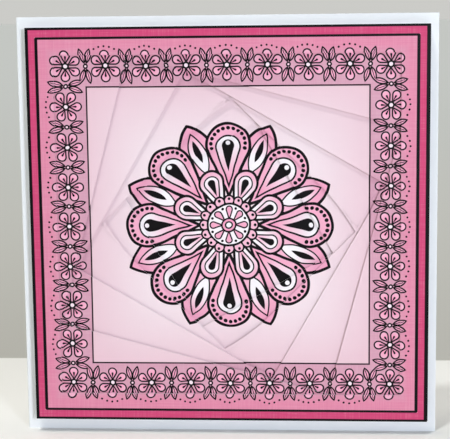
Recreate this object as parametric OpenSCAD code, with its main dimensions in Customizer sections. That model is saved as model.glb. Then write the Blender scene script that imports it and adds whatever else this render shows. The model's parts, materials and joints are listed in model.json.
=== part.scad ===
// Tunnel card: a folded card blank that stands opened like a book, with a square topper
// on its front. The topper is a stack of printed sheets of the same outer size. Each sheet
// has a square window that is smaller than the one in front of it and turned a little
// further, so that its corners touch the edges of that window. Strips of foam tape along
// the borders and foam squares beside the windows hold the sheets apart.
//
// +Z is up, the front faces -Y and +X is to the right as seen from the front. The card
// stands on its lower edges, and the origin is on the ground under the middle of its
// bounding box.

/* [Card blank] */
// Width of one panel, from the outside of the fold to the free edge
card_w = 201.5; // [200:0.5:260]
// Height of the blank
card_h = 203; // [200:1:260]
// Thickness of the blank's card
card_t = 0.35; // [0.25:0.05:0.6]
// Inside radius of the fold
fold_r = 0.5; // [0.3:0.1:1.5]
// Angle between the two panels as the card stands, in degrees
open_angle = 40; // [30:1:75]

/* [Printed sheets] */
// Side of the square sheets
sheet_side = 191.4; // [150:0.2:196]
// Thickness of a printed sheet
sheet_t = 0.3; // [0.2:0.05:0.5]
// Width of the border around the window of the front sheet
border_w = 13.2; // [11:0.1:20]
// Turn of each window against the one in front of it, clockwise, in degrees
twist = 15; // [10:1:22]
// How far the topper's middle lies to the right of the panel's middle
topper_shift = 0.5; // [-1.5:0.1:1.5]
// How far the topper's middle lies above the panel's middle
topper_lift = 0.8; // [-1.5:0.1:1.5]

/* [Foam tape] */
// Thickness of the foam tape, which is the gap between two sheets
foam_t = 1; // [0.5:0.1:3]
// Width of the foam strips along the borders
strip_w = 6; // [3:0.5:7]
// Distance of the foam strips from the outer edges of the sheets
strip_inset = 3; // [1:0.5:4]
// Space left between a side strip and the ends of the top and bottom strips
strip_gap = 2; // [0.5:0.5:10]
// Side of the foam squares beside the windows
pad_side = 10; // [5:1:12]
// Distance of the foam squares from the edges of the windows
pad_inset = 3; // [1:0.5:6]

/* [Hidden] */
// The sheets with a window are numbered from the front, and the foam strips and squares
// carry the number of the sheet that they lie behind.

// Number of flats that make up the fold
fold_steps = 14;

// Number of sheets with a window
window_count = 5;
// How far each sheet, from the front one to the whole one at the back, lies to the right of
// and above the topper's middle, as the hands that stacked them left it
sheet_slip = [[0, 0], [0.4, 0], [0.5, -0.2], [0.4, -0.2], [0.3, -0.1], [0.2, 0]];
// The first gap that is wide enough beside its window for foam squares
first_pad_gap = 2;
// The four sides of a sheet, each a quarter turn clockwise from the one before
SIDES = ["top", "right", "bottom", "left"];

// Distance from the front of one sheet to the front of the next
pitch = sheet_t + foam_t;
// Depth of the whole topper in front of the blank
topper_depth = window_count * pitch + sheet_t;
// Side of the window in the front sheet
front_window = sheet_side - 2 * border_w;
// What one turn does to the side of the window, with its corners on the window in front
window_ratio = 1 / (cos(twist) + sin(twist));
// Length of the strips along the top and bottom borders, and of those at the sides
long_strip = sheet_side - 2 * strip_inset;
short_strip = long_strip - 2 * (strip_w + strip_gap);

// Outside radius of the fold, and the flat length of a panel beside it
fold_outer = fold_r + card_t;
panel_flat = card_w - fold_outer;
// How far back the free corner of the rear panel reaches
rear_reach = fold_outer + panel_flat * sin(open_angle) + fold_outer * cos(open_angle);
// Place of the front panel's face that puts the bounding box's middle over the origin
front_y = (topper_depth - rear_reach) / 2;

// Side of the window in the numbered sheet
function window_side(number) = front_window * pow(window_ratio, number - 1);

// Turn of the window in the numbered sheet
function window_turn(number) = -twist * (number - 1);

// Place of the back face of the numbered sheet
function sheet_y(number) = front_y - (window_count + 1 - number) * pitch;

// Stands a flat shape upright at the middle of the topper, with its back face at y
module upright(y, thickness, slip = [0, 0]) {
    translate([topper_shift + slip.x, y, card_h / 2 + topper_lift + slip.y])
        rotate([90, 0, 0])
            linear_extrude(thickness)
                children();
}

// Points of the fold's arc of one radius, by steps from the front panel to the rear panel
function fold_arc(radius, steps) = [
    for (step = steps)
        let (turn = 270 - (180 - open_angle) * step / fold_steps)
            radius * [cos(turn), sin(turn)]
];

// Corner of the rear panel's free end, at a distance from the fold's middle
function rear_corner(distance) =
    panel_flat * [cos(open_angle), sin(open_angle)]
    + distance * [-sin(open_angle), cos(open_angle)];

// The blank as seen from above: the front panel, the fold at the left and the rear panel
module blank_section() {
    polygon(concat(
        [[panel_flat, -fold_outer]],
        fold_arc(fold_outer, [0 : fold_steps]),
        [rear_corner(fold_outer), rear_corner(fold_r)],
        fold_arc(fold_r, [fold_steps : -1 : 0]),
        [[panel_flat, -fold_r]]
    ));
}

// The folded blank, one piece of card
module card_blank() {
    color("whitesmoke")
        translate([fold_outer - card_w / 2, front_y + fold_outer, 0])
            linear_extrude(card_h)
                blank_section();
}

// The whole sheet that closes the tunnel and is glued to the front panel
module back_sheet() {
    color("thistle")
        upright(front_y, sheet_t, sheet_slip[window_count])
            square(sheet_side, center = true);
}

// A printed sheet with its turned window
module frame_sheet(number) {
    color(number % 2 == 1 ? "palevioletred" : "pink")
        upright(sheet_y(number), sheet_t, sheet_slip[number - 1])
            difference() {
                square(sheet_side, center = true);
                rotate(window_turn(number))
                    square(window_side(number), center = true);
            }
}

// A strip of foam tape along one border, behind the numbered sheet
module foam_strip(number, side) {
    strip_length = side % 2 == 0 ? long_strip : short_strip;
    color("gainsboro")
        upright(sheet_y(number) + foam_t, foam_t)
            rotate(-90 * side)
                translate([0, sheet_side / 2 - strip_inset - strip_w / 2])
                    square([strip_length, strip_w], center = true);
}

// A foam square beside one edge of the window, behind the numbered sheet
module foam_pad(number, side) {
    color("silver")
        upright(sheet_y(number) + foam_t, foam_t)
            rotate(window_turn(number) - 90 * side)
                translate([0, window_side(number) / 2 + pad_inset + pad_side / 2])
                    square(pad_side, center = true);
}

card_blank();
back_sheet();
for (number = [1 : window_count])
    frame_sheet(number);
for (number = [1 : window_count], side = [0 : 3])
    foam_strip(number, side);
for (number = [first_pad_gap : window_count], side = [0 : 3])
    foam_pad(number, side);
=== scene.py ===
"""A tunnel card of folded and cut paper, dressed for its picture.

A square card blank stands half open on a table. Its front panel carries a stack of printed square
sheets that foam tape holds apart. Each sheet has a square window, smaller and turned further than the
one in front of it, so the eye looks down a twisting tunnel on to the backing sheet.
"""

import json
import logging
import math
from dataclasses import dataclass
from enum import Enum
from typing import Iterable

import bmesh
import bpy
from mathutils import Matrix, Vector, noise

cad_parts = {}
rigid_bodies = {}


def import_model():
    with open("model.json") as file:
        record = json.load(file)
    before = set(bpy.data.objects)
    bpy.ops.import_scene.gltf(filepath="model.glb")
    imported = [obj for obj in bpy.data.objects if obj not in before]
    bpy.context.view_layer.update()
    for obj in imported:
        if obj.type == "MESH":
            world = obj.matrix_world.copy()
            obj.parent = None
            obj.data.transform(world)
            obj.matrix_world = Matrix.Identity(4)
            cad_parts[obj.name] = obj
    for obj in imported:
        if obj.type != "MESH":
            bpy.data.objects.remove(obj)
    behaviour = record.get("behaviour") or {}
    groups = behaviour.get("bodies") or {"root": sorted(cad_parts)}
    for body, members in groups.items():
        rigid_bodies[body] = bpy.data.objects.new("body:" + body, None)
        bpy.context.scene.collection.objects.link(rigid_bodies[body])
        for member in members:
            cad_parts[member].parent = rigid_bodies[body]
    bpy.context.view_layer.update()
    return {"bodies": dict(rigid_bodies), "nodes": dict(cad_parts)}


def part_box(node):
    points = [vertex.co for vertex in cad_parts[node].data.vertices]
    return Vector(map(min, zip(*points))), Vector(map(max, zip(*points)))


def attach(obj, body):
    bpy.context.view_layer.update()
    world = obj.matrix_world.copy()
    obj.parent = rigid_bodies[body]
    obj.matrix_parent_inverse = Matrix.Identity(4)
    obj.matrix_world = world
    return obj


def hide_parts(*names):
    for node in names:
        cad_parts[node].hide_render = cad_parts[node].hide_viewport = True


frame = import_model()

MM = 0.001
BODY = next(iter(frame["bodies"]))
SEED = 4102
Colour = tuple[float, float, float]
LOG = logging.getLogger("tunnel_card")


class Number:
    """A number that a shader works out: Python's operators on it add Math nodes."""

    def __init__(self, graph: "Graph", socket: bpy.types.NodeSocket) -> None:
        """Wraps an output socket of a graph."""
        self.graph = graph
        self.socket = socket

    def _with(self, operation: str, *others: "Number | float", clamp: bool = False) -> "Number":
        """Adds one Math node that works on this number and others."""
        return self.graph.maths(operation, self, *others, clamp=clamp)

    def __add__(self, other: "Number | float") -> "Number":
        """Adds another number."""
        return self._with("ADD", other)

    def __sub__(self, other: "Number | float") -> "Number":
        """Takes another number away."""
        return self._with("SUBTRACT", other)

    def __rsub__(self, other: float) -> "Number":
        """Takes this number away from another."""
        return self.graph.maths("SUBTRACT", other, self)

    def __mul__(self, other: "Number | float") -> "Number":
        """Multiplies by another number."""
        return self._with("MULTIPLY", other)

    __rmul__ = __mul__

    def __neg__(self) -> "Number":
        """Turns the sign round."""
        return self._with("MULTIPLY", -1.0)

    def __abs__(self) -> "Number":
        """Drops the sign."""
        return self._with("ABSOLUTE")

    def root(self) -> "Number":
        """Takes the square root."""
        return self._with("SQRT")

    def sine(self) -> "Number":
        """Takes the sine."""
        return self._with("SINE")

    def cosine(self) -> "Number":
        """Takes the cosine."""
        return self._with("COSINE")

    def bearing(self, other: "Number | float") -> "Number":
        """Gives the angle whose tangent is this number over another."""
        return self._with("ARCTAN2", other)

    def wrap(self, period: float) -> "Number":
        """Wraps the number into 0 to a period."""
        return self._with("FLOORED_MODULO", period)

    def most(self, other: "Number | float") -> "Number":
        """Gives the larger of two numbers."""
        return self._with("MAXIMUM", other)

    def least(self, other: "Number | float") -> "Number":
        """Gives the smaller of two numbers."""
        return self._with("MINIMUM", other)

    def scaled(self, factor: "Number | float", add: "Number | float", clamp: bool = False) -> "Number":
        """Multiplies and then adds in one node."""
        return self._with("MULTIPLY_ADD", factor, add, clamp=clamp)

    def below(self, edge: float = 0.0, soft: float = 0.12) -> "Number":
        """Gives 1 where the number is under an edge and 0 above it, with a soft step between.

        Args:
            edge: Where the step lies.
            soft: How wide the step is.

        Returns:
            The mask.
        """
        return self.scaled(-1 / soft, edge / soft + 0.5, clamp=True)

    def ramp(self, start: float, end: float) -> "Number":
        """Rises from 0 at start to 1 at end and stays between them."""
        return self.scaled(1 / (end - start), -start / (end - start), clamp=True)

    def mixed(self, other: "Number | float", share: "Number") -> "Number":
        """Moves towards another number by a share.

        Args:
            other: The number at a share of 1.
            share: How far to move, 0 to 1.

        Returns:
            The mixed number.
        """
        return (other - self).scaled(share, self)


class Graph:
    """One node tree, with one method for every kind of node."""

    def __init__(self, tree: bpy.types.NodeTree) -> None:
        """Starts on an empty tree."""
        self.tree = tree

    @classmethod
    def fresh(cls, owner: "bpy.types.Material | bpy.types.World") -> "Graph":
        """Starts on the nodes of a material or world, after clearing them."""
        owner.use_nodes = True
        owner.node_tree.nodes.clear()
        return cls(owner.node_tree)

    def end(self, kind: str, sockets: dict, output: str = "OutputMaterial") -> None:
        """Adds the shader that all else feeds, and the output that it feeds.

        Args:
            kind: The shader's type.
            sockets: Values or links for its inputs.
            output: The output's type.
        """
        shader = self.add(kind, sockets=sockets)
        self.feed(self.add(output).inputs[0], shader.outputs[0])

    def add(self, kind: str, settings: dict | None = None, sockets: dict | None = None) -> bpy.types.Node:
        """Adds a node.

        Args:
            kind: The node's type, without the word ShaderNode.
            settings: Attributes of the node, set before its sockets.
            sockets: Values or links for its inputs, by name or place.

        Returns:
            The new node.
        """
        node = self.tree.nodes.new(kind if kind.startswith("Node") else "ShaderNode" + kind)
        for name, value in (settings or {}).items():
            setattr(node, name, value)
        for key, value in (sockets or {}).items():
            self.feed(node.inputs[key], value)
        return node

    def feed(self, socket: bpy.types.NodeSocket, value: object) -> None:
        """Links a number or socket into an input, or sets the input's own value."""
        if isinstance(value, Number):
            value = value.socket
        if isinstance(value, bpy.types.NodeSocket):
            self.tree.links.new(value, socket)
        elif isinstance(value, tuple) and socket.type == "RGBA" and len(value) == 3:
            socket.default_value = (*value, 1.0)
        else:
            socket.default_value = value

    def maths(self, operation: str, *values: "Number | float", clamp: bool = False) -> Number:
        """Adds a Math node on up to three values."""
        node = self.add("Math", {"operation": operation, "use_clamp": clamp}, dict(enumerate(values)))
        return Number(self, node.outputs[0])

    def vector_maths(self, operation: str, *values: object) -> bpy.types.NodeSocket:
        """Adds a Vector Math node; a scale goes in as the last value."""
        sockets = dict(enumerate(values))
        if operation == "SCALE":
            sockets = {0: values[0], "Scale": values[1]}
        return self.add("VectorMath", {"operation": operation}, sockets).outputs[0]

    def parts(self, vector: bpy.types.NodeSocket) -> tuple[Number, Number, Number]:
        """Splits a vector into its three numbers."""
        outputs = self.add("SeparateXYZ", sockets={0: vector}).outputs
        return tuple(Number(self, socket) for socket in outputs)

    def tint(self, first: object, second: object, share: "Number | float") -> bpy.types.NodeSocket:
        """Mixes two colours.

        Args:
            first: The colour at a share of 0.
            second: The colour at a share of 1.
            share: How much of the second shows.

        Returns:
            The colour's socket.
        """
        return self.add("Mix", {"data_type": "RGBA"}, {0: share, 6: first, 7: second}).outputs[2]

    def grain(self, place: bpy.types.NodeSocket, scale: float, detail: float, rough: float) -> Number:
        """Adds a noise whose value lies about 0.5.

        Args:
            place: Where it is read.
            scale: How many features lie along one unit of the place.
            detail: How many finer layers it has.
            rough: How strong those are.

        Returns:
            The noise.
        """
        sockets = {"Vector": place, "Scale": scale, "Detail": detail, "Roughness": rough}
        return Number(self, self.add("TexNoise", sockets=sockets).outputs[0])

    def relief(self, height: Number, strength: float, depth: float) -> bpy.types.NodeSocket:
        """Adds a fine relief to a surface.

        Args:
            height: How far it stands out, 0 to 1.
            strength: How strongly it shows.
            depth: What a height of 1 is, in metres.

        Returns:
            The direction that the surface faces.
        """
        sockets = {"Strength": strength, "Distance": depth, "Height": height}
        return self.add("Bump", sockets=sockets).outputs[0]


def reach(along: Number, across: Number) -> Number:
    """Gives the distance from the origin of two numbers."""
    return across.scaled(across, along * along).root()


def disc(along: Number, across: Number, radius: float) -> Number:
    """Gives the distance to the edge of a disc about the origin."""
    return reach(along, across) - radius


@dataclass(frozen=True)
class Leaf:
    """A pointed oval, where two circles overlap: its middle's place, its length and its width."""

    middle: float
    length: float
    width: float

    def edge(self, along: Number, across: Number) -> Number:
        """Gives the distance to its edge, negative inside.

        Args:
            along: Place along the leaf.
            across: Place across it.

        Returns:
            The distance.
        """
        radius = (self.length * self.length + self.width * self.width) / (4 * self.width)
        return reach(along - self.middle, abs(across) + (radius - self.width / 2)) - radius


@dataclass(frozen=True)
class Drop:
    """A teardrop: where its point lies, where its round end's middle lies, and that end's radius."""

    tip: float
    centre: float
    radius: float

    def edge(self, along: Number, side: Number) -> Number:
        """Gives the distance to its edge, negative inside.

        Args:
            along: Place along the drop.
            side: Distance from its middle line, never negative.

        Returns:
            The distance.
        """
        lean = math.asin(self.radius / (self.centre - self.tip))
        cosine, sine = math.cos(lean), math.sin(lean)
        flank = side.scaled(cosine, along.scaled(-sine, sine * self.tip))
        onward = side.scaled(sine, along.scaled(cosine, -cosine * self.tip))
        far = onward.below((self.centre - self.tip) * cosine, 0.02)
        return (reach(along - self.centre, side) - self.radius).mixed(flank, far)


@dataclass(frozen=True)
class Bead:
    """A disc on a petal's middle line: where its middle lies, and its radius."""

    centre: float
    radius: float

    def edge(self, along: Number, side: Number) -> Number:
        """Gives the distance to its edge, negative inside."""
        return disc(along - self.centre, side, self.radius)


@dataclass(frozen=True)
class BeadArc:
    """Beads on an arc about a point of a petal's middle line.

    Attributes:
        centre: Where that point lies.
        ring: The arc's radius.
        bead: The beads' radius.
        step: The angle from one bead to the next.
        shown: How many beads show on each side.
    """

    centre: float
    ring: float
    bead: float
    step: float
    shown: float

    def mask(self, along: Number, side: Number) -> Number:
        """Marks the beads, the first of them straight out along the petal."""
        along = along - self.centre
        angle = side.bearing(along)
        near = (angle + self.step / 2).wrap(self.step) - self.step / 2
        beads = disc(reach(along, side) - self.ring, near * self.ring, self.bead).below()
        return beads * angle.below(self.shown * self.step, 0.01)


# An outline as wide as this fills its shape with ink
SOLID = 9.0


@dataclass(frozen=True)
class Mark:
    """A filled and outlined shape on the print.

    Attributes:
        shape: The shape.
        line: How wide the outline inside its edge is, or SOLID.
        white: How white its fill is; 0 is pink.
        fade: Where along the petal the whiteness begins and is full, if it isn't even.
    """

    shape: "Leaf | Drop | Bead"
    line: float
    white: float = 0.0
    fade: "tuple[float, float] | None" = None

    def fill(self, along: Number) -> "Number | float":
        """Gives the whiteness at a place along the petal."""
        return along.ramp(*self.fade) * self.white if self.fade else self.white


@dataclass
class Drawing:
    """What is drawn so far: how far it hides the ground, how white it is filled, and where it is black."""

    cover: "Number | float" = 0.0
    white: "Number | float" = 0.0
    ink: "Number | float" = 0.0

    def press(
        self, marks: Iterable[Mark], along: Number, side: Number, keep: "Number | float" = 1.0
    ) -> None:
        """Lays marks over what is there, each over the one before it.

        Args:
            marks: The marks.
            along: Place along the petal.
            side: Place across it.
            keep: Where they show.
        """
        for mark in marks:
            edge = mark.shape.edge(along, side)
            inside = self._kept(edge.below(), keep)
            self.white = self._over(self.white, mark.fill(along), inside)
            self.ink = self._over(self.ink, 1 - edge.below(-mark.line), inside)
            self.cover = self._either(self.cover, inside)

    def dot(self, mask: Number, keep: "Number | float" = 1.0) -> None:
        """Inks a mask black where it is to show."""
        mask = self._kept(mask, keep)
        self.ink = self._either(self.ink, mask)
        self.cover = self._either(self.cover, mask)

    @staticmethod
    def _kept(mask: Number, keep: "Number | float") -> Number:
        """Cuts a mask down to where it is to show."""
        return mask if isinstance(keep, float) else mask * keep

    @staticmethod
    def _either(under: "Number | float", mask: Number) -> Number:
        """Gives the larger of two masks, of which the first may still be empty."""
        return mask if isinstance(under, float) else under.most(mask)

    @staticmethod
    def _over(under: "Number | float", over: "Number | float", share: Number) -> Number:
        """Mixes a mask over the one that was there, which may still be empty."""
        return over * share if isinstance(under, float) else under.mixed(over, share)


@dataclass
class Rosette:
    """The round flower in the middle of the print, in millimetres from its centre before it is scaled."""

    x: Number
    z: Number
    petals: int = 8
    size: float = 0.88
    outer_leaves: tuple[Mark, ...] = (
        Mark(Leaf(42.5, 35.0, 20.0), 1.55, 0.25, (60, 30)),
        Mark(Leaf(42.5, 25.0, 9.6), 0.8, 1.0, (54, 40)),
        Mark(Leaf(44.0, 13.5, 3.4), SOLID),
    )
    great_petals: tuple[Mark, ...] = (Mark(Drop(14.0, 44.6, 12.6), 1.55, 0.12),)
    petal_beads: BeadArc = BeadArc(44.6, 9.35, 1.05, 0.3, 6.5)
    petal_insides: tuple[Mark, ...] = (
        Mark(Drop(20.0, 42.8, 7.2), 0.95, 1.0, (26, 46)),
        Mark(Drop(29.5, 43.6, 3.5), SOLID),
        Mark(Bead(45.2, 1.3), 0.0, 1.0),
    )
    middle_petals: tuple[Mark, ...] = (
        Mark(Drop(4.0, 25.2, 7.3), 1.3, 1.0, (33, 17)),
        Mark(Drop(12.0, 24.8, 4.3), 0.75, 1.0, (14, 27)),
        Mark(Drop(17.0, 25.0, 1.9), SOLID),
    )
    scallops: tuple[Mark, ...] = (Mark(Bead(13.5, 3.2), 1.0, 0.3),)
    scallop_dot: Bead = Bead(14.4, 0.8)
    heart: tuple[Mark, ...] = (
        Mark(Bead(0.0, 12.2), 1.2, 1.0),
        Mark(Drop(2.0, 8.5, 2.1), 0.75, 0.1),
    )
    heart_dot: Bead = Bead(9.7, 0.75)
    button: tuple[Mark, ...] = (
        Mark(Bead(0.0, 4.1), 0.95),
        Mark(Bead(0.0, 2.1), 0.8, 1.0),
    )

    def __post_init__(self) -> None:
        """Takes the place on the print as a distance and a bearing."""
        self.radius = reach(self.x, self.z) * (1 / self.size)
        self.turn = self.x.bearing(self.z)

    def fold(self, count: int, offset: float = 0.0) -> tuple[Number, Number]:
        """Folds the plane so that one petal stands for all.

        Args:
            count: How many petals there are.
            offset: How far the first is turned, as a share of a petal.

        Returns:
            The place along the petal and the distance from its middle line.
        """
        step = 2 * math.pi / count
        bearing = abs((self.turn + (offset + 0.5) * step).wrap(step) - step / 2)
        return self.radius * bearing.cosine(), self.radius * bearing.sine()

    def draw(self) -> Drawing:
        """Inks the flower from its outer leaves to its heart and returns the drawing."""
        drawing = Drawing()
        between = self.fold(self.petals, 0.5)
        on_petals = self.fold(self.petals)
        on_scallops = self.fold(2 * self.petals)
        drawing.press(self.outer_leaves, *between)
        drawing.press(self.great_petals, *on_petals)
        drawing.dot(self.petal_beads.mask(*on_petals))
        drawing.press(self.petal_insides, *on_petals)
        drawing.press(self.middle_petals, *between)
        drawing.press(self.scallops, *on_scallops)
        drawing.dot(self.scallop_dot.edge(*on_scallops).below())
        drawing.press(self.heart, *on_petals)
        drawing.dot(self.heart_dot.edge(*between).below())
        drawing.press(self.button, *on_petals)
        return drawing


@dataclass
class Garland:
    """The row of small blossoms and leaf pairs round the print, in millimetres from the print's centre."""

    x: Number
    z: Number
    middle: float = 77.3
    cells: int = 8
    petal: Mark = Mark(Drop(0.8, 5.35, 2.35), 0.72, 0.35, (4.0, 8.2))
    petal_vein: Drop = Drop(1.8, 4.6, 0.5)
    blossom_heart: Mark = Mark(Bead(0.0, 1.75), 0.85, 0.8)
    leaf: Mark = Mark(Leaf(0.0, 7.8, 3.1), 0.72, 0.1)
    leaf_place: tuple[float, float] = (8.15, 4.7)
    leaf_turn: float = 107.0
    leaf_vein: tuple[float, float] = (2.2, 0.2)
    berry: Mark = Mark(Bead(0.0, 1.25), 0.75, 0.6)
    arch: BeadArc = BeadArc(0.0, 9.4, 0.5, 0.27, 2.5)

    def __post_init__(self) -> None:
        """Folds the four sides into half a cell, from a blossom to the gap beside it."""
        across, up = abs(self.x), abs(self.z)
        outward, sideways = across.most(up), across.least(up)
        self.half_cell = self.middle / self.cells
        self.along = abs((sideways + self.half_cell).wrap(2 * self.half_cell) - self.half_cell)
        self.out = outward - self.middle
        self.corner = (across - self.middle, up - self.middle)
        self.before_corner = sideways.below(self.middle - self.half_cell)
        self.on_side = sideways.below(self.middle)

    def blossom(self, drawing: Drawing, along: Number, out: Number, keep: "Number | float") -> None:
        """Inks a six-petalled blossom.

        Args:
            drawing: The drawing that takes it.
            along: Place along the side from the blossom's middle.
            out: Place across the side.
            keep: Where it shows.
        """
        radius = reach(along, out)
        step = math.pi / 3
        bearing = abs((out.bearing(along) + step).wrap(step) - step / 2)
        place = (radius * bearing.cosine(), radius * bearing.sine())
        drawing.press([self.petal], *place, keep)
        drawing.dot(self.petal_vein.edge(*place).below(), keep)
        drawing.press([self.blossom_heart], *place, keep)

    def leaf_pair(self, drawing: Drawing) -> None:
        """Inks the two leaves that stand on each side of the row between two blossoms, and their berry."""
        turn = math.radians(self.leaf_turn)
        x, y = self.along - self.leaf_place[0], abs(self.out) - self.leaf_place[1]
        length = x.scaled(math.cos(turn), y * math.sin(turn))
        across = y.scaled(math.cos(turn), x * -math.sin(turn))
        drawing.press([self.leaf], length, across, self.on_side)
        vein = length.below(self.leaf_vein[0]) * abs(across).below(self.leaf_vein[1])
        drawing.dot(self.leaf.shape.edge(length, across).below() * vein, self.on_side)
        drawing.press([self.berry], self.along - self.half_cell, self.out, self.on_side)

    def draw(self) -> Drawing:
        """Inks one cell and the corner, and returns the drawing."""
        drawing = Drawing()
        self.leaf_pair(drawing)
        self.blossom(drawing, self.along, self.out, self.before_corner)
        drawing.dot(self.arch.mask(self.out, self.along), self.before_corner)
        self.blossom(drawing, *self.corner, 1.0)
        return drawing


@dataclass(frozen=True)
class PrintInks:
    """The colours of the print, as its paper shows them in white light."""

    black: Colour = (0.003, 0.002, 0.003)
    deep_pink: Colour = (0.620, 0.062, 0.176)
    mid_pink: Colour = (0.731, 0.248, 0.370)
    linen_pink: Colour = (0.656, 0.340, 0.440)
    rim_pink: Colour = (0.765, 0.468, 0.547)
    pale: Colour = (0.867, 0.727, 0.765)
    petal_pink: Colour = (0.840, 0.340, 0.500)
    petal_white: Colour = (0.900, 0.850, 0.880)
    light_thread: Colour = (1.0, 1.0, 1.0)
    dark_thread: Colour = (0.25, 0.03, 0.1)


@dataclass(frozen=True)
class PrintLayout:
    """Where the print's bands and lines lie, in millimetres from its centre towards a side."""

    edge_line: tuple[float, float] = (94.15, 94.55)
    deep_band: float = 91.2
    inner_line: tuple[float, float] = (89.65, 90.05)
    corner_round: float = 0.9
    linen_fade: tuple[float, float] = (79.0, 86.5)
    frame_line: float = 67.4
    frame_line_width: float = 0.72
    fade: tuple[float, float] = (38.0, 85.0)
    wobble_scale: float = 0.09
    wobble: float = 1.5
    thread_scale: float = 2.4
    thread_length: float = 0.05
    thread_strength: tuple[float, float] = (0.24, 0.05)
    line_blur: float = 0.2


@dataclass(frozen=True)
class PrintedArt:
    """The picture on every sheet: bands and lines round a garland, and a rosette in the middle."""

    inks: PrintInks = PrintInks()
    layout: PrintLayout = PrintLayout()

    def build(self) -> bpy.types.NodeTree:
        """Makes the node group that gives the print's colour and ink at a place in millimetres."""
        tree = bpy.data.node_groups.new("printed_art", "ShaderNodeTree")
        tree.interface.new_socket("Place", in_out="INPUT", socket_type="NodeSocketVector")
        tree.interface.new_socket("Color", in_out="OUTPUT", socket_type="NodeSocketColor")
        tree.interface.new_socket("Ink", in_out="OUTPUT", socket_type="NodeSocketFloat")
        graph = Graph(tree)
        place = graph.add("NodeGroupInput").outputs[0]
        colour, ink = self.paint(graph, place)
        output = graph.add("NodeGroupOutput")
        graph.feed(output.inputs[0], colour)
        graph.feed(output.inputs[1], ink)
        return tree

    def paint(self, graph: Graph, place: bpy.types.NodeSocket) -> tuple[bpy.types.NodeSocket, Number]:
        """Lays the ground, then the garland, then the rosette, then the ruled lines.

        Args:
            graph: The graph that takes the nodes.
            place: Where on the print, in millimetres from its centre.

        Returns:
            The colour and the share of black ink.
        """
        x, _, z = graph.parts(place)
        out = abs(x).most(abs(z))
        hand_x, _, hand_z = graph.parts(self.by_hand(graph, place))
        colour = self.ground(graph, place, x, z, out)
        ink = self.lines(x, z, out)
        for motif in (Garland, Rosette):
            drawing = motif(hand_x, hand_z).draw()
            fill = graph.tint(self.inks.petal_pink, self.inks.petal_white, drawing.white)
            colour = graph.tint(colour, fill, drawing.cover)
            ink = ink.most(drawing.ink)
        return graph.tint(colour, self.inks.black, ink), ink

    def by_hand(self, graph: Graph, place: bpy.types.NodeSocket) -> bpy.types.NodeSocket:
        """Moves a place a little to and fro, as a hand-drawn line wavers."""
        sockets = {"Vector": place, "Scale": self.layout.wobble_scale, "Detail": 1.0}
        noise_colour = graph.add("TexNoise", sockets=sockets).outputs[1]
        centred = graph.vector_maths("SUBTRACT", noise_colour, (0.5, 0.5, 0.5))
        return graph.vector_maths("ADD", place, graph.vector_maths("SCALE", centred, self.layout.wobble))

    def threads(self, graph: Graph, place: bpy.types.NodeSocket) -> Number:
        """Gives the woven streaks, those that stand and those that lie, about 0."""
        fine, coarse = self.layout.thread_scale, self.layout.thread_length
        stretched = (
            graph.vector_maths("MULTIPLY", place, stretch)
            for stretch in ((fine, 0.0, coarse), (coarse, 0.0, fine))
        )
        upright, level = (graph.grain(where, 1.0, 3.0, 0.7) for where in stretched)
        return upright + level - 1.0

    def ground(
        self, graph: Graph, place: bpy.types.NodeSocket, x: Number, z: Number, out: Number
    ) -> bpy.types.NodeSocket:
        """Paints the bands of pink with their woven streaks.

        Args:
            graph: The graph that takes the nodes.
            place: Where on the print.
            x: The place's distance to the right.
            z: The place's distance up.
            out: The larger of the two distances, without their signs.

        Returns:
            The colour.
        """
        layout, inks = self.layout, self.inks
        spread = graph.maths("POWER", reach(x * x * x, z * z * z), 1 / 3)
        inside = graph.tint(inks.pale, inks.rim_pink, spread.ramp(*layout.fade))
        colour = graph.tint(inside, inks.linen_pink, 1 - out.below(layout.frame_line))
        band = graph.tint(inks.linen_pink, inks.mid_pink, out.ramp(*layout.linen_fade))
        colour = graph.tint(colour, band, 1 - out.below(layout.linen_fade[0]))
        colour = graph.tint(colour, inks.deep_pink, 1 - out.below(layout.deep_band))
        outside = out.ramp(layout.frame_line - layout.line_blur, layout.frame_line)
        strength = outside.scaled(*layout.thread_strength)
        shade = self.threads(graph, place) * strength
        colour = graph.tint(colour, inks.light_thread, shade.most(0.0))
        return graph.tint(colour, inks.dark_thread, (-shade).most(0.0))

    def lines(self, x: Number, z: Number, out: Number) -> Number:
        """Draws the ruled black lines of the frame.

        Args:
            x: Place to the right.
            z: Place up.
            out: The larger of the two, without their signs.

        Returns:
            The mask of the lines.
        """
        layout = self.layout
        across, up = abs(x), abs(z)
        round_at = layout.deep_band - layout.corner_round
        corner = reach((across - round_at).most(0.0), (up - round_at).most(0.0)) - layout.corner_round
        inner = corner.below(0.0, layout.line_blur) * self.past(across, up, layout.inner_line)
        edge = self.past(across, up, layout.edge_line)
        from_frame = abs(out - layout.frame_line)
        thin = from_frame.below(layout.frame_line_width / 2, layout.line_blur)
        return inner.most(edge).most(thin)

    def past(self, across: Number, up: Number, start: tuple[float, float]) -> Number:
        """Marks what lies further out than a line's start at the sides, or at the top and bottom.

        Args:
            across: Distance from the middle to the left or right.
            up: Distance from the middle up or down.
            start: Where the line starts at the sides, and at the top and bottom.

        Returns:
            The mask.
        """
        further = (across - start[0]).most(up - start[1])
        return 1 - further.below(0.0, self.layout.line_blur)


class Paper(Enum):
    """The kinds of paper finish on the card."""

    PRINTED = "printed_sheet"
    BLANK = "card_stock"


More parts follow.
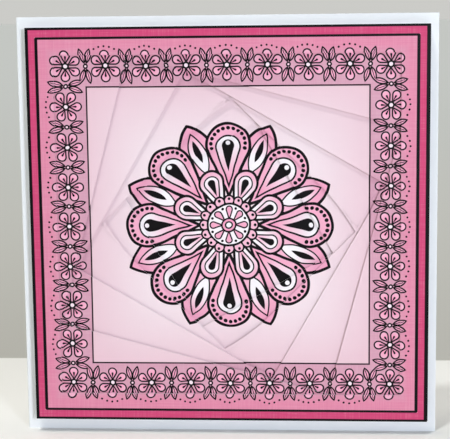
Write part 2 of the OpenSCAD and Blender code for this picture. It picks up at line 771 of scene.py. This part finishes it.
@dataclass(frozen=True)
class PrintedFinish:
    """Inked coated paper on one side with a white core and back."""

    art: bpy.types.NodeTree
    centre: tuple[float, float]
    name: str
    core: Colour = (0.86, 0.84, 0.85)
    roughness: float = 0.52
    ink_roughness: float = 0.38
    fibre_scale: float = 2.6
    fibre_strength: float = 0.18
    fibre_depth: float = 0.06 * MM
    fibre_sheen: float = 0.16
    specular: float = 0.12

    def make(self) -> bpy.types.Material:
        """Makes the material of one sheet, with the art placed on that sheet's own centre."""
        material = bpy.data.materials.new(f"{Paper.PRINTED.value}_{self.name}")
        graph = Graph.fresh(material)
        where = graph.add("TexCoord")
        centre = (self.centre[0], 0.0, self.centre[1])
        place = graph.vector_maths("SUBTRACT", where.outputs["Object"], centre)
        place = graph.vector_maths("SCALE", place, 1 / MM)
        print_node = graph.add("Group", {"node_tree": self.art}, {0: place})
        _, facing, _ = graph.parts(where.outputs["Normal"])
        front = facing.below(-0.5, 0.1)
        colour = graph.tint(self.core, print_node.outputs[0], front)
        ink = Number(graph, print_node.outputs[1]) * front
        fibre = graph.grain(place, self.fibre_scale, 4.0, 0.6)
        paper = fibre.scaled(self.fibre_sheen, self.roughness - self.fibre_sheen / 2)
        graph.end("BsdfPrincipled", {
            "Base Color": colour,
            "Roughness": ink.scaled(self.ink_roughness - self.roughness, paper),
            "Normal": graph.relief(fibre, self.fibre_strength, self.fibre_depth),
            "Specular IOR Level": self.specular,
        })
        return material


@dataclass(frozen=True)
class CardStockFinish:
    """Smooth white card with a fine tooth, and fibres that broke a little along the fold."""

    colour: Colour = (0.885, 0.90, 0.915)
    shade: Colour = (0.862, 0.877, 0.897)
    crease: Colour = (0.93, 0.93, 0.925)
    crease_end: float = -99.75
    cloud_scale: float = 0.05
    fibre_scale: float = 1.9
    crack_scale: float = 0.9
    crack_range: tuple[float, float] = (0.42, 0.62)
    crack_white: float = 0.7
    crack_height: float = 0.8
    crease_blur: float = 0.8
    mottle_range: tuple[float, float] = (0.4, 0.7)
    tooth_strength: float = 0.3
    tooth_depth: float = 0.08 * MM
    roughness: float = 0.55
    fibre_sheen: float = 0.2
    specular: float = 0.3

    def make(self) -> bpy.types.Material:
        """Makes the material of the card blank."""
        material = bpy.data.materials.new(Paper.BLANK.value)
        graph = Graph.fresh(material)
        where = graph.add("TexCoord").outputs["Object"]
        place = graph.vector_maths("SCALE", where, 1 / MM)
        cloud = graph.grain(place, self.cloud_scale, 2.0, 0.5)
        fibre = graph.grain(place, self.fibre_scale, 5.0, 0.65)
        across, _, _ = graph.parts(place)
        cracks = graph.grain(place, self.crack_scale, 4.0, 0.7).ramp(*self.crack_range)
        broken = across.below(self.crease_end, self.crease_blur) * cracks
        mottle = (cloud * 0.6 + fibre * 0.5).ramp(*self.mottle_range)
        colour = graph.tint(self.shade, self.colour, mottle)
        height = fibre + broken * self.crack_height
        graph.end("BsdfPrincipled", {
            "Base Color": graph.tint(colour, self.crease, broken * self.crack_white),
            "Roughness": fibre.scaled(self.fibre_sheen, self.roughness),
            "Normal": graph.relief(height, self.tooth_strength, self.tooth_depth),
            "Specular IOR Level": self.specular,
        })
        return material


@dataclass(frozen=True)
class FoamFinish:
    """White closed-cell foam tape, with painted shade darkening its pores."""

    colour: Colour = (0.86, 0.86, 0.84)
    # Painted shade in the pores, not a colour the foam has
    pore_shade: Colour = (0.62, 0.62, 0.6)
    cells_per_mm: float = 5.0
    pore_range: tuple[float, float] = (0.1, 0.6)
    pore_strength: float = 0.5
    pore_depth: float = 0.08 * MM
    roughness: float = 0.8
    specular: float = 0.2

    def make(self) -> bpy.types.Material:
        """Makes the foam's material."""
        material = bpy.data.materials.new("foam_tape")
        graph = Graph.fresh(material)
        where = graph.add("TexCoord").outputs["Object"]
        place = graph.vector_maths("SCALE", where, 1 / MM)
        sockets = {"Vector": place, "Scale": self.cells_per_mm}
        cells = Number(graph, graph.add("TexVoronoi", sockets=sockets).outputs[0])
        pores = cells.ramp(*self.pore_range)
        # The pores' darker colour is painted shade in the pits; their bump is real relief.
        graph.end("BsdfPrincipled", {
            "Base Color": graph.tint(self.pore_shade, self.colour, pores),
            "Roughness": self.roughness,
            "Normal": graph.relief(pores, self.pore_strength, self.pore_depth),
            "Specular IOR Level": self.specular,
        })
        return material


def finished(mesh: bmesh.types.BMesh, name: str, material: bpy.types.Material) -> bpy.types.Object:
    """Turns a bmesh into a piece in the scene.

    Args:
        mesh: The mesh, in metres where the piece lies.
        name: The piece's name.
        material: Its finish.

    Returns:
        The piece.
    """
    data = bpy.data.meshes.new(name)
    mesh.to_mesh(data)
    mesh.free()
    data.materials.append(material)
    piece = bpy.data.objects.new(name, data)
    bpy.context.scene.collection.objects.link(piece)
    return piece


@dataclass
class PrintedSheet:
    """One printed sheet of the stack, cut from paper that bows a little where no foam holds it.

    Attributes:
        node: The solid that it stands for.
        bow: How far its paper bows, in metres.
        cuts: How many cuts divide each of its sides.
        bevel: How far the knife rounds its front edges.
        bow_reach: How fast the bow fades away from the window.
        held: How wide a border the foam strips hold flat.
        ease: Over what distance the paper comes free beside them.
        waves: How closely its bows follow one another, and how unlike those of the next sheet they are.
    """

    node: str
    bow: float
    cuts: int = 23
    bevel: float = 0.06 * MM
    bow_reach: float = 22 * MM
    held: float = 9 * MM
    ease: float = 10 * MM
    waves: tuple[float, float] = (14.0, 900.0)

    def __post_init__(self) -> None:
        """Reads the sheet's size, place and window from its solid."""
        self.low, self.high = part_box(self.node)
        self.middle = (self.low + self.high) / 2
        self.half = (self.high.x - self.low.x) / 2
        self.window = self._window_corner()

    def _window_corner(self) -> "Vector | None":
        """Finds one corner of the window from the sheet's middle, or nothing for a whole sheet."""
        for vertex in frame["nodes"][self.node].data.vertices:
            away = Vector((vertex.co.x - self.middle.x, 0.0, vertex.co.z - self.middle.z))
            if max(abs(away.x), abs(away.z)) < self.half - 0.1 * MM:
                return away
        return None

    def _inset(self, place: Vector) -> float:
        """Gives how far a place lies outside the window."""
        lean = math.atan2(self.window.z, self.window.x) + math.pi / 4
        across = place.x * math.cos(lean) + place.z * math.sin(lean)
        up = place.z * math.cos(lean) - place.x * math.sin(lean)
        return max(abs(across), abs(up)) - self.window.length / math.sqrt(2)

    def _lift(self, place: Vector) -> float:
        """Works out how far the paper bows at a place on the sheet, where no foam strip holds it."""
        if not self.window:
            return 0.0
        close, unlike = self.waves
        wave = noise.noise(Vector((place.x * close, self.middle.y * unlike, place.z * close)))
        border = self.half - max(abs(place.x), abs(place.z))
        free = min(max((border - self.held) / self.ease, 0.0), 1.0)
        return wave * free * math.exp(-max(self._inset(place), 0.0) / self.bow_reach) * self.bow

    def _blank(self, mesh: bmesh.types.BMesh) -> None:
        """Lays the flat sheet with its window, face up."""
        if not self.window:
            segments = self.cuts + 1
            bmesh.ops.create_grid(mesh, x_segments=segments, y_segments=segments, size=self.half)
            return
        outer = (self.half * math.sqrt(2), math.pi / 4)
        inner = (self.window.length, math.atan2(self.window.z, self.window.x))
        for radius, angle in (outer, inner):
            ring = bmesh.ops.create_circle(mesh, segments=4, radius=radius)["verts"]
            bmesh.ops.rotate(mesh, verts=ring, cent=(0, 0, 0), matrix=Matrix.Rotation(angle, 3, "Z"))
        bmesh.ops.bridge_loops(mesh, edges=mesh.edges[:])
        bmesh.ops.subdivide_edges(mesh, edges=mesh.edges[:], cuts=self.cuts, use_grid_fill=True)

    def _thicken(self, mesh: bmesh.types.BMesh) -> None:
        """Stands the sheet up, gives it its thickness and rounds its front edges as a knife does."""
        upright = Matrix.Rotation(math.pi / 2, 3, "X")
        bmesh.ops.rotate(mesh, verts=mesh.verts, cent=(0, 0, 0), matrix=upright)
        thick = self.high.y - self.low.y
        grown = bmesh.ops.extrude_face_region(mesh, geom=mesh.faces[:], use_keep_orig=True)
        moved = [v for v in grown["geom"] if isinstance(v, bmesh.types.BMVert)]
        bmesh.ops.translate(mesh, verts=moved, vec=(0, thick, 0))
        bmesh.ops.recalc_face_normals(mesh, faces=mesh.faces)
        nearly_square = 1.2
        sharp = (e for e in mesh.edges if e.calc_face_angle(0) > nearly_square)
        fronts = [e for e in sharp if all(v.co.y < thick / 2 for v in e.verts)]
        bmesh.ops.bevel(
            mesh, geom=fronts, offset=self.bevel, segments=1, profile=0.5, affect="EDGES", material=-1
        )

    def build(self, material: bpy.types.Material) -> bpy.types.Object:
        """Cuts the sheet, gives it its thickness and puts it in place.

        Args:
            material: The sheet's finish.

        Returns:
            The piece.
        """
        mesh = bmesh.new()
        self._blank(mesh)
        self._thicken(mesh)
        for vertex in mesh.verts:
            vertex.co.y += self._lift(vertex.co)
        bmesh.ops.translate(mesh, verts=mesh.verts, vec=(self.middle.x, self.low.y, self.middle.z))
        piece = finished(mesh, f"{self.node}_paper", material)
        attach(piece, BODY)
        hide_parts(self.node)
        return piece


@dataclass
class FoamLayer:
    """The strips and pads of foam tape behind one sheet, squeezed a little between the sheets.

    Attributes:
        number: The number of the sheet in front of it.
        waist: How far the foam's sides pull in.
        steps: How many cuts divide its thickness.
    """

    number: int
    waist: float = 0.15 * MM
    steps: int = 5

    def __post_init__(self) -> None:
        """Finds the foam solids of the layer."""
        ours = [node for node in frame["nodes"] if node.endswith(f"_{self.number}")]
        self.nodes = sorted(node for node in ours if node.startswith(("strip_", "pad_")))

    @staticmethod
    def _outline(node: str) -> tuple[Vector, Vector, float]:
        """Finds how a foam solid lies.

        Args:
            node: The solid.

        Returns:
            Its middle, its size along its own sides, and how far these are turned.
        """
        low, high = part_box(node)
        middle = (low + high) / 2
        places = {(round(v.co.x, 7), round(v.co.z, 7)) for v in frame["nodes"][node].data.vertices}
        ring = sorted(places, key=lambda place: math.atan2(place[1] - middle.z, place[0] - middle.x))
        first, second, third = (Vector((x, 0.0, z)) for x, z in ring[:3])
        side, next_side = second - first, third - second
        size = Vector((side.length, high.y - low.y, next_side.length))
        return middle, size, math.atan2(side.z, side.x)

    def _pad(self, node: str) -> bpy.types.Mesh:
        """Makes one strip or pad with sides that pull in between its two sticky faces.

        Args:
            node: The solid that it stands for.

        Returns:
            Its mesh, where it lies.
        """
        middle, size, turn = self._outline(node)
        pad = bmesh.new()
        bmesh.ops.create_cube(pad, size=1.0)
        bmesh.ops.scale(pad, verts=pad.verts, vec=size)
        through = [e for e in pad.edges if abs((e.verts[0].co - e.verts[1].co).y) > size.y / 2]
        bmesh.ops.subdivide_edges(pad, edges=through, cuts=self.steps, use_grid_fill=True)
        for vertex in pad.verts:
            waist = 1 - (2 * vertex.co.y / size.y) ** 2
            for axis in (0, 2):
                vertex.co[axis] -= math.copysign(self.waist * waist, vertex.co[axis])
        bmesh.ops.rotate(pad, verts=pad.verts, cent=(0, 0, 0), matrix=Matrix.Rotation(-turn, 3, "Y"))
        bmesh.ops.translate(pad, verts=pad.verts, vec=middle)
        data = bpy.data.meshes.new(node)
        pad.to_mesh(data)
        pad.free()
        return data

    def build(self, material: bpy.types.Material) -> bpy.types.Object:
        """Makes the layer's foam as one piece.

        Args:
            material: The foam's finish.

        Returns:
            The piece.
        """
        mesh = bmesh.new()
        for node in self.nodes:
            pad = self._pad(node)
            mesh.from_mesh(pad)
            bpy.data.meshes.remove(pad)
        bmesh.ops.recalc_face_normals(mesh, faces=mesh.faces)
        piece = finished(mesh, f"foam_layer_{self.number}", material)
        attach(piece, BODY)
        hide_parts(*self.nodes)
        return piece


@dataclass
class Stack:
    """The printed sheets and the foam between them; bow is how far a sheet with a window bows."""

    bow: float = 0.35 * MM

    def __post_init__(self) -> None:
        """Lists the sheets from the back one to the front one."""
        frames = sorted(node for node in frame["nodes"] if node.startswith("frame_sheet_"))
        self.sheets = ["back_sheet", *reversed(frames)]

    def build(self) -> list[bpy.types.Object]:
        """Makes every sheet and foam layer."""
        art = PrintedArt().build()
        made = []
        for node in self.sheets:
            sheet = PrintedSheet(node, self.bow if node != "back_sheet" else 0.0)
            finish = PrintedFinish(art, (sheet.middle.x, sheet.middle.z), node)
            made.append(sheet.build(finish.make()))
        foam = FoamFinish().make()
        for number in range(1, len(self.sheets)):
            made.append(FoamLayer(number).build(foam))
        return made


@dataclass
class CardBlank:
    """The folded blank that stands on the table."""

    finish: CardStockFinish = CardStockFinish()

    def dress(self) -> bpy.types.Object:
        """Gives the blank its card stock."""
        node = frame["nodes"]["card_blank"]
        node.data.materials.clear()
        node.data.materials.append(self.finish.make())
        return node


@dataclass(frozen=True)
class Lamp:
    """A soft lamp aimed at the card."""

    name: str
    towards: tuple[float, float, float]
    distance: float
    width: float
    power: float
    colour: Colour

    def hang(self, aim: Vector) -> None:
        """Hangs the lamp and points it at the card."""
        data = bpy.data.lights.new(self.name, "AREA")
        data.shape = "DISK"
        data.size = self.width
        data.energy = self.power
        data.color = self.colour
        lamp = bpy.data.objects.new(self.name, data)
        bpy.context.scene.collection.objects.link(lamp)
        way = Vector(self.towards).normalized()
        lamp.location = aim + way * self.distance
        lamp.rotation_mode = "QUATERNION"
        lamp.rotation_quaternion = (-way).to_track_quat("-Z", "Y")


@dataclass(frozen=True)
class Studio:
    """The pale table, the grey behind it with a painted glow on the far floor, the lamps and the light all
    round.
    """

    table: Colour = (0.90, 0.89, 0.88)
    beyond: Colour = (0.50, 0.49, 0.465)
    # Colour of a painted glow that the far floor emits, though it is no lamp
    far_glow: Colour = (0.425, 0.435, 0.415)
    aim_height: float = 100 * MM
    table_edge: float = 143 * MM
    edge_blur: float = 2 * MM
    table_roughness: float = 0.7
    radius: float = 60.0
    lamps: tuple[Lamp, ...] = (
        Lamp("window_light", (0.43, -1.0, 0.2), 1.5, 0.20, 11.0, (0.825, 0.880, 1.0)),
        Lamp("ceiling_light", (-0.4, -1.0, 2.5), 1.6, 0.14, 9.6, (0.965, 0.99, 0.970)),
        Lamp("overhead_light", (-0.1, -0.02, 1.0), 1.6, 0.6, 11.6, (1.0, 0.93, 0.81)),
    )
    ambient_front: Colour = (0.130, 0.165, 0.160)
    ambient_back: Colour = (0.31, 0.31, 0.31)
    horizon: Colour = (0.60, 0.60, 0.575)
    turn_to_back: tuple[float, float] = (-0.1, 0.5)
    above_horizon: tuple[float, float] = (0.03, 0.15)

    def build(self) -> None:
        """Makes the table, the lamps and the world."""
        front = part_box("back_sheet")[1].y
        self._ground(front + self.table_edge)
        self._world()
        aim = Vector((0.0, front, self.aim_height))
        for lamp in self.lamps:
            lamp.hang(aim)

    def _ground(self, edge: float) -> None:
        """Lays the round floor whose tone changes at the table's back edge, and whose far part glows as
        painted light.
        """
        mesh = bmesh.new()
        bmesh.ops.create_circle(mesh, cap_ends=True, segments=96, radius=self.radius)
        material = bpy.data.materials.new("table_top")
        graph = Graph.fresh(material)
        where = graph.add("TexCoord").outputs["Object"]
        _, depth, _ = graph.parts(where)
        tone = graph.tint(self.beyond, self.table, depth.below(edge, self.edge_blur))
        # Painted glow: the floor beyond the table emits light that grows with distance, though it is no
        # lamp.
        far = 1 - graph.maths("EXPONENT", (edge - depth).least(0.0))
        glow = graph.tint((0.0, 0.0, 0.0), self.far_glow, far)
        graph.end("BsdfPrincipled", {
            "Base Color": tone,
            "Roughness": self.table_roughness,
            "Emission Color": glow,
            "Emission Strength": 1.0,
        })
        finished(mesh, "table_top", material)

    def _world(self) -> None:
        """Lights the scene from all round, softer in front of the card than behind it."""
        world = bpy.data.worlds.new("room")
        bpy.context.scene.world = world
        graph = Graph.fresh(world)
        _, depth, height = graph.parts(graph.add("TexCoord").outputs["Generated"])
        colour = graph.tint(self.ambient_front, self.ambient_back, depth.ramp(*self.turn_to_back))
        colour = graph.tint(self.horizon, colour, height.ramp(*self.above_horizon))
        graph.end("Background", {"Color": colour, "Strength": 1.0}, "OutputWorld")


@dataclass(frozen=True)
class Viewpoint:
    """Where the photographer stood, measured from the card's front face."""

    azimuth: float = 4.036
    elevation: float = 8.235
    roll: float = -0.667
    distance: float = 677.8 * MM
    target_x: float = -1.224 * MM
    target_z: float = 104.957 * MM
    lens: float = 111.94
    sensor: float = 36.0

    def set_up(self) -> None:
        """Makes the camera."""
        turn, rise, roll = (math.radians(a) for a in (self.azimuth, self.elevation, self.roll))
        flat = Vector((-math.sin(turn), math.cos(turn), 0.0))
        ahead = flat * math.cos(rise) - Vector((0.0, 0.0, math.sin(rise)))
        right = Vector((math.cos(turn), math.sin(turn), 0.0))
        up = right.cross(ahead)
        level = right * math.cos(roll) + up * math.sin(roll)
        upright = up * math.cos(roll) - right * math.sin(roll)
        target = Vector((self.target_x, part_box("back_sheet")[1].y, self.target_z))
        data = bpy.data.cameras.new("photographer")
        data.sensor_fit = "HORIZONTAL"
        data.sensor_width = self.sensor
        data.lens = self.lens
        camera = bpy.data.objects.new("photographer", data)
        bpy.context.scene.collection.objects.link(camera)
        turned = Matrix((level, upright, -ahead)).transposed()
        camera.matrix_world = Matrix.Translation(target - ahead * self.distance) @ turned.to_4x4()
        bpy.context.scene.camera = camera


def report(pieces: Iterable[bpy.types.Object]) -> None:
    """Logs each piece with its size."""
    for piece in pieces:
        corners = [Vector(corner) for corner in piece.bound_box]
        span = [round((max(axis) - min(axis)) / MM, 2) for axis in zip(*corners)]
        LOG.info("%s: %d faces, %s mm", piece.name, len(piece.data.polygons), span)


def main() -> None:
    """Builds the camera, the card and the studio in order."""
    logging.basicConfig(level=logging.INFO, format="%(name)s %(message)s")
    noise.seed_set(SEED)
    scene = bpy.context.scene
    scene.view_settings.view_transform = "Standard"
    scene.view_settings.look = "None"
    Viewpoint().set_up()
    report([CardBlank().dress()])
    report(Stack().build())
    Studio().build()
    bpy.context.view_layer.update()


if __name__ == "__main__":
    main()
